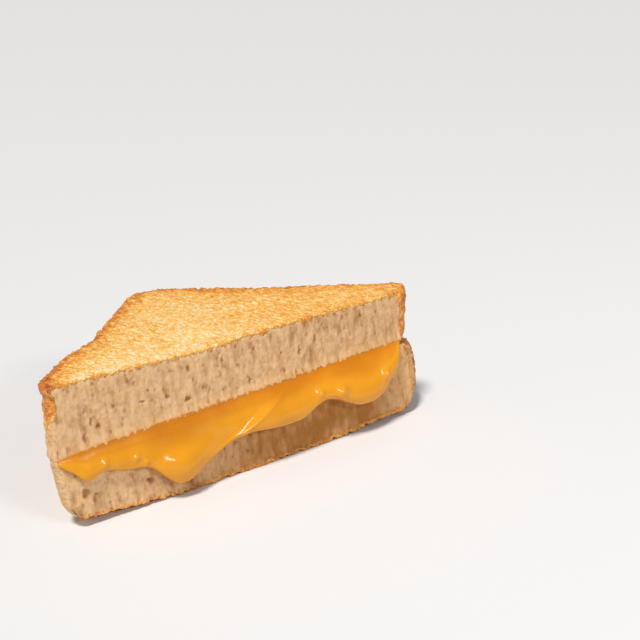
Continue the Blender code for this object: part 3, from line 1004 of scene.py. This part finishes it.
@dataclass
class CheeseFlow:
    """Melted cheddar: the layer between the slices, its curtain over the cut, its bead
    along the crust.

    Stations of the curtain: place along the cut, drop below the seam, how far it stands
    proud before its bellies are added. Drips of the crust bead: place along the crust,
    drop, half width.
    """
    name: str = "melted_cheddar"
    stations: tuple[tuple[float, float, float], ...] = (
        (0.6, 1.4, 0.9), (2.9, 3.9, 1.4), (5.4, 6.3, 1.7), (7.6, 8.9, 1.9),
        (9.4, 10.0, 2.0), (11.2, 10.0, 2.1), (13.2, 9.1, 2.1), (15.6, 9.0, 2.1),
        (20.5, 10.4, 2.3), (26.0, 11.8, 2.5), (30.0, 12.4, 2.7), (33.0, 14.4, 2.9),
        (36.0, 17.4, 3.2), (39.5, 20.6, 3.4), (42.5, 22.1, 3.5), (45.5, 22.2, 3.5),
        (48.5, 21.2, 3.4), (52.0, 19.6, 3.3), (57.0, 17.5, 3.3), (62.0, 15.4, 3.3),
        (67.0, 14.1, 3.5), (72.0, 13.8, 3.7), (79.0, 14.6, 3.9), (87.0, 15.9, 4.1),
        (93.0, 16.2, 4.3), (99.0, 14.6, 4.5), (103.0, 13.0, 4.7), (106.5, 12.2, 4.9),
        (111.0, 13.2, 5.1), (117.0, 16.2, 5.3), (123.0, 18.7, 5.4), (129.0, 19.0, 5.4),
        (134.0, 17.6, 5.2), (138.5, 14.4, 4.9), (142.5, 9.8, 4.0), (145.4, 5.2, 2.7),
        (147.6, 1.4, 0.9))
    swells: tuple[Swell, ...] = (
        Swell(9.6, 7.0, 3.2, 2.2, 0.9), Swell(21.0, 8.0, 4.0, 2.4, 0.5),
        Swell(43.5, 16.5, 5.8, 4.0, 2.8), Swell(30.0, 8.0, 5.0, 2.6, 0.4),
        Swell(88.0, 11.2, 11.0, 4.0, 1.4), Swell(124.5, 13.4, 9.0, 4.4, 2.2),
        Swell(110.0, 8.5, 7.0, 3.0, 0.6), Swell(140.0, 6.5, 4.2, 3.2, 1.2),
        Swell(15.6, 6.2, 0.9, 1.0, 0.6), Swell(26.7, 7.9, 0.9, 0.8, 0.55),
        Swell(29.9, 10.4, 1.0, 0.8, 0.6), Swell(39.5, 12.6, 4.6, 2.0, 0.8),
        Swell(112.9, 9.8, 1.6, 1.5, 1.25), Swell(103.3, 8.0, 1.1, 1.1, 0.85),
        Swell(136.0, 9.5, 1.2, 1.6, 1.2))
    folds: tuple[Fold, ...] = (Fold((56.8, 17.0), (84.0, 6.0), 1.0),)
    drips: tuple[tuple[float, float, float], ...] = (
        (30, 2.6, 3.5), (50, 6.0, 3.2), (72, 2.2, 4.0), (103, 4.2, 5.0),
        (131, 2.4, 3.2), (153, 6.6, 3.6), (176, 3.0, 3.4))
    columns: int = 560
    seed: int = 71
    sheet_rows: int = 47
    bead_rows: int = 34
    hidden_rows: int = 8
    back_rows: int = 30
    finish: MeltedCheddar = MeltedCheddar()

    def relief(self, x: np.ndarray, below: np.ndarray) -> np.ndarray:
        """What the bellies and folds add to the curtain, in mm.

        A belly is the product of two bells. A fold is, with d the distance from its
        line, a bell's left half on its left and a slow exponential on its right, times
        a window that closes at both ends of the line.
        """
        added = np.zeros(np.broadcast(x, below).shape)
        for swell in self.swells:
            added = added + swell.rise * (bell(x - swell.place, swell.half_width)
                                          * bell(below - swell.below, swell.half_height))
        for fold in self.folds:
            run = np.array(fold.end) - np.array(fold.start)
            length = float(np.hypot(*run))
            ahead = ((x - fold.start[0]) * run[0] + (below - fold.start[1]) * run[1]) / length
            aside = ((x - fold.start[0]) * -run[1] + (below - fold.start[1]) * run[0]) / length
            window = ease(-3, 6, ahead) * ease(length + 8, length - 8, ahead)
            step = np.where(aside > 0, np.exp(-np.clip(aside, 0, None) / fold.reach),
                            np.exp(-(aside / fold.steep) ** 2))
            crest = fold.crest * np.exp(-(aside / fold.crest_width) ** 2)
            added = added + (fold.rise * step + crest) * window
        return added

    def curtain(self, stack: Stack, x: np.ndarray) -> tuple[np.ndarray, np.ndarray]:
        """Front of the curtain: places (y, z) and the painted shade of each, darker near the seam
        under the bread and under the lip.

        Down the sheet the thickness grows from a thin neck to the full body; its end is
        half an ellipse from the front, under the lip, to the back.
        """
        table = np.array(self.stations)
        drop, proud = through(table, 1, x)[:, None], through(table, 2, x)[:, None]
        seam = stack.seam_height(x)[:, None]
        column = x[:, None]
        lip = np.minimum(0.24 * drop, 0.52 * proud)
        end = 1 - lip / drop
        t = np.linspace(0, 1, self.sheet_rows)[None, :] * end

        def thickness(share: np.ndarray) -> np.ndarray:
            """Thickness at a share of the drop."""
            body = 0.1 + 0.32 * ease(-0.06, 0.3, share) + 0.58 * ease(0, 0.85, share)
            neck = ease(-2.0 - 2.5 * ease(22, 8, column), 3.5, drop * share)
            return proud * body * neck + self.relief(column, drop * share) * ease(0, 0.25, share)

        z_sheet = seam - drop * t
        y_sheet = stack.lower_face(column, z_sheet) - thickness(t)
        turn = (np.arange(1, self.bead_rows + 1) / self.bead_rows * math.pi)[None, :]
        full = thickness(end)
        z_bead = seam - drop + lip * (1 - np.sin(turn))
        face = stack.lower_face(column, z_bead)
        y_bead = face - full * (0.5 + 0.5 * np.cos(turn)) + 0.15 * (1 - np.cos(turn)) / 2
        y = np.concatenate([y_sheet, y_bead], axis=1)
        z = np.concatenate([z_sheet, z_bead], axis=1)
        # painted shade: darker near the seam under the bread, and under the lip of the bead
        cheese_painted_shade = ease(1.0, 0.1, (seam - z) / (0.5 * drop))
        cheese_painted_shade[:, self.sheet_rows:] = ease(0.35, 1.4, turn)
        return np.stack([y, z], axis=-1), cheese_painted_shade

    def back_bead(self, stack: Stack, lines: Ruling) -> np.ndarray:
        """Bead along the crust: half an ellipse in the seam, drawn down into drips.

        From the seam down, the outer surface stands off the lower slice's rounded edge
        and wall by a thickness that is zero at both ends of the half ellipse.
        """
        xb = lines.back[:, :1]
        seam, bed = stack.seam_height(xb), stack.bed_height(xb - stack.shift[0])
        room = np.clip((seam - bed) / stack.cheese, 0, 1)
        run = np.concatenate([[0], np.cumsum(np.linalg.norm(np.diff(lines.back, axis=0), axis=1))])
        drop = sum(fall * bell(run - place, width * 0.55) for place, fall, width in self.drips)
        line = np.stack([run, 0 * run, 0 * run], axis=-1)
        drop = ((drop + 0.8 + 0.5 * noise(line, 8, self.seed + 6))[:, None]) * room
        thick = (1.5 + 0.35 * noise(line, 11, self.seed + 5))[:, None] * room + 0.25 * drop ** 0.7
        turn = (np.arange(1, self.back_rows) / self.back_rows * math.pi)[None, :]
        z = seam + 0.1 - (seam - bed + 0.2 + drop) * (1 - np.cos(turn)) / 2
        down = np.clip(1 - z / bed, 0, 1)
        radius = 4.0
        fall = np.clip(bed - z, 0, radius)
        inset = radius - np.sqrt(radius ** 2 - (radius - fall) ** 2)
        push = sum(lines.outward[:, i:i + 1] * (stack.shift[i] + stack.lean[i] * down)
                   for i in (0, 1))
        wall = np.where(z < bed, push - inset, -1.6)
        wall = np.maximum(wall, -1.6) - 0.3
        ends = (ease(2, 12, run) * ease(run[-1] - 2, run[-1] - 12, run))[:, None]
        out = soften_open(wall, 3) - 1.5 * (1 - ends) + thick * np.sin(turn) ** 0.75
        place = lines.back[:, None, :] + lines.outward[:, None, :] * out[..., None]
        return np.concatenate([place, np.broadcast_to(z, out.shape)[..., None]], axis=-1)

    def build(self, stack: Stack, loaf: LoafSlice, origin: np.ndarray) -> bpy.types.Object:
        """Join curtain, layer and back bead into one tube of closed sections."""
        crust = loaf.crust_line(1801)
        left, right = crust[0, 0], crust[-1, 0]
        x = np.linspace(self.stations[0][0], self.stations[-1][0], self.columns)
        lines = ruling(stack, loaf, (x - left) / (right - left))
        front, front_painted_shade = self.curtain(stack, x)
        curtain = np.concatenate(
            [np.broadcast_to(x[:, None, None], (*front.shape[:2], 1)), front], axis=-1)
        bead = self.back_bead(stack, lines)

        def bridge(start: np.ndarray, end: np.ndarray, rows: int) -> np.ndarray:
            """Straight rows between two edges, without the edges themselves."""
            t = (np.arange(1, rows + 1) / (rows + 1))[None, :, None]
            return start[:, None, :] * (1 - t) + end[:, None, :] * t

        bed = stack.bed_height(x - stack.shift[0]) - 0.15
        shelf = np.stack([x, stack.lower_face(x, bed) + 0.4, bed], axis=-1)
        mouth = np.stack([x, 0 * x + 0.5, stack.seam_height(x) + 0.15], axis=-1)
        ring = [curtain, bridge(curtain[:, -1], shelf, self.hidden_rows),
                shelf[:, None], bridge(shelf, bead[:, -1], self.hidden_rows),
                bead[:, ::-1], bridge(bead[:, 0], mouth, self.hidden_rows), mouth[:, None]]
        points = np.concatenate(ring, axis=1)[:, ::-1]
        normals = tube_normals(points)
        waves = 0.28 * noise(points, (10, 9, 7), self.seed) + 0.07 * noise(points, 4.5, self.seed + 1)
        swell = np.zeros(points.shape[1])
        swell[-curtain.shape[1]:] = np.clip(
            np.sin(np.linspace(math.pi, 0, curtain.shape[1])) * 1.6, 0, 1)
        size = np.clip(through(np.array(self.stations), 2, x) / 5, 0, 1)[:, None]
        points = points + normals * (waves * swell[None, :] * size)[..., None]
        cheese_painted_shade = np.full(points.shape[:2], 0.6)
        cheese_painted_shade[:, -curtain.shape[1]:] = front_painted_shade[:, ::-1]
        piece = tube_mesh(self.name, points, {"cheese_painted_shade": cheese_painted_shade}, origin)
        piece.data.materials.append(self.finish.make())
        return piece


def soften_open(values: np.ndarray, passes: int) -> np.ndarray:
    """Blur values along axis 1 with the weights 1, 2, 1, keeping both ends."""
    for _ in range(passes):
        inner = (values[:, :-2] + 2 * values[:, 1:-1] + values[:, 2:]) / 4
        values = np.concatenate([values[:, :1], inner, values[:, -1:]], axis=1)
    return values


# ---------------------------------------------------------------- stage

@dataclass(frozen=True)
class Lamp:
    """A soft far lamp: where its light comes from, its strength, its width in the sky."""
    name: str
    comes_from: tuple[float, float, float]
    strength: float
    width: float
    colour: str

    def hang(self) -> None:
        """Add the lamp to the scene."""
        data = bpy.data.lights.new(self.name, "SUN")
        data.energy = self.strength
        data.angle = self.width
        data.color = linear(self.colour)[:3]
        lamp = bpy.data.objects.new(self.name, data)
        lamp.rotation_euler = Vector(self.comes_from).to_track_quat("Z", "Y").to_euler()
        bpy.context.scene.collection.objects.link(lamp)


@dataclass(frozen=True)
class Softbox:
    """A rectangular lamp with a diffuser that points at the middle of the table."""
    name: str
    comes_from: tuple[float, float, float]
    distance: float
    size: tuple[float, float]
    power: float
    colour: str

    def hang(self) -> None:
        """Add the softbox to the scene."""
        data = bpy.data.lights.new(self.name, "AREA")
        data.shape = "RECTANGLE"
        data.size, data.size_y = self.size
        data.energy = self.power
        data.color = linear(self.colour)[:3]
        lamp = bpy.data.objects.new(self.name, data)
        lamp.location = Vector(self.comes_from).normalized() * self.distance
        lamp.rotation_euler = Vector(self.comes_from).to_track_quat("Z", "Y").to_euler()
        bpy.context.scene.collection.objects.link(lamp)


@dataclass(frozen=True)
class Studio:
    """Pale table, a soft key light from the upper left, a weak one in front that draws
    the glints of the cheese, and an even surround."""
    target: tuple[float, float, float] = (0.0529, -0.0001, 0.0364)
    azimuth: float = math.radians(-40.851)
    elevation: float = math.radians(17.387)
    distance: float = 0.43
    lens: float = 60.12
    key: Lamp = Lamp("key", (-0.45, -0.22, 0.87), 3.1, math.radians(10), "FFF9F2")
    front: Softbox = Softbox("front", (0.05, -0.84, 0.53), 1.0, (0.32, 0.11), 2.1, "FFFFFF")
    surround: str = "F7FAFF"
    surround_strength: float = 0.22
    table_size: float = 60.0

    def camera(self) -> None:
        """Camera on a sphere round its target, looking at it."""
        flat = math.cos(self.elevation)
        back = Vector((math.sin(self.azimuth) * flat, -math.cos(self.azimuth) * flat,
                       math.sin(self.elevation)))
        data = bpy.data.cameras.new("studio_camera")
        data.lens = self.lens
        data.sensor_width = 36
        data.clip_start, data.clip_end = 0.01, 200
        camera = bpy.data.objects.new("studio_camera", data)
        camera.location = Vector(self.target) + back * self.distance
        camera.rotation_euler = back.to_track_quat("Z", "Y").to_euler()
        bpy.context.scene.collection.objects.link(camera)
        bpy.context.scene.camera = camera

    def lights(self) -> None:
        """The two lamps and the surround."""
        for lamp in (self.key, self.front):
            lamp.hang()
        world = bpy.data.worlds.new("surround")
        world.use_nodes = True
        shade = world.node_tree.nodes["Background"]
        shade.inputs["Color"].default_value = linear(self.surround)
        shade.inputs["Strength"].default_value = self.surround_strength
        bpy.context.scene.world = world

    def table(self) -> None:
        """Large square table at z = 0."""
        half = self.table_size / 2
        mesh = bpy.data.meshes.new("table")
        mesh.from_pydata([(-half, -half, 0), (half, -half, 0), (half, half, 0),
                          (-half, half, 0)], [], [(0, 1, 2, 3)])
        table = bpy.data.objects.new("table", mesh)
        table.data.materials.append(PaleTable().make())
        bpy.context.scene.collection.objects.link(table)


@dataclass
class Sandwich:
    """The whole half sandwich in the shared frame."""
    stack: Stack = Stack()
    loaf: LoafSlice = LoafSlice()

    def origin(self, lines: Ruling) -> np.ndarray:
        """Where the working origin lies: the top slice's box gives its cut and left end."""
        low = np.array(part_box("bread_top")[0])
        return np.array([low[0] - lines.start * MM, low[1], 0.0])

    def slices(self) -> list[BreadSlice]:
        """The two slices, lower first."""
        rows = {Zone.CUT: 50, Zone.TOP: 70, Zone.UPPER_EDGE: 6, Zone.WALL: 30,
                Zone.LOWER_EDGE: 6, Zone.UNDER: 12}
        turned = {Zone.CUT: 48, Zone.TOP: 14, Zone.UPPER_EDGE: 6, Zone.WALL: 30,
                  Zone.LOWER_EDGE: 14, Zone.UNDER: 62}
        lower_tears = (Tear(9.4, 11.3, 1.6, 2.0, 1.5), Tear(12.2, 8.6, 0.8, 1.8, 1.1),
                       Tear(32.5, 9.2, 2.2, 1.3, 1.6), Tear(67.9, 12.3, 1.7, 0.9, 1.2),
                       Tear(73.0, 8.0, 1.1, 1.0, 1.2), Tear(143.5, 13.0, 1.0, 2.0, 1.2))
        upper_tears = (Tear(21.1, 38.0, 1.0, 1.0, 1.3), Tear(31.7, 36.6, 1.5, 0.8, 1.3),
                       Tear(49.3, 33.3, 1.7, 1.3, 1.5), Tear(41.2, 36.2, 1.2, 1.2, 1.4),
                       Tear(10.9, 38.6, 1.0, 0.9, 1.1), Tear(12.9, 34.8, 0.7, 2.0, 1.1),
                       Tear(75.3, 33.4, 0.8, 2.2, 1.2), Tear(98.0, 39.0, 1.0, 2.0, 1.2))
        return [
            BreadSlice("griddled_slice_lower", "bread_bottom", False, 300, 6.5, 4.0, 1.7,
                       turned, lower_tears, GriddledBread("griddled_white_bread_lower")),
            BreadSlice("griddled_slice_upper", "bread_top", True, 500, 2.4, 1.8, 1.0,
                       rows, upper_tears, GriddledBread("griddled_white_bread_upper")),
        ]

    def build(self) -> None:
        """Build every piece and hand it to the frame."""
        for piece_plan in self.slices():
            ends = np.linspace(piece_plan.end_share, 1 - piece_plan.end_share,
                               piece_plan.columns)
            lines = ruling(self.stack, self.loaf, ends)
            piece = piece_plan.build(lines, self.origin(lines))
            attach(piece, "root")
            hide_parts(piece_plan.node)
            LOG.info("%s: %d faces", piece.name, len(piece.data.polygons))
        flow = CheeseFlow()
        cheese = flow.build(self.stack, self.loaf, self.origin(lines))
        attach(cheese, "root")
        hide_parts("cheese")
        LOG.info("%s: %d faces", cheese.name, len(cheese.data.polygons))


def main() -> None:
    """Set the stage and build the sandwich."""
    logging.basicConfig(level=logging.INFO)
    bpy.context.scene.view_settings.view_transform = "Standard"
    studio = Studio()
    studio.camera()
    studio.lights()
    studio.table()
    Sandwich().build()


if __name__ == "__main__":
    main()
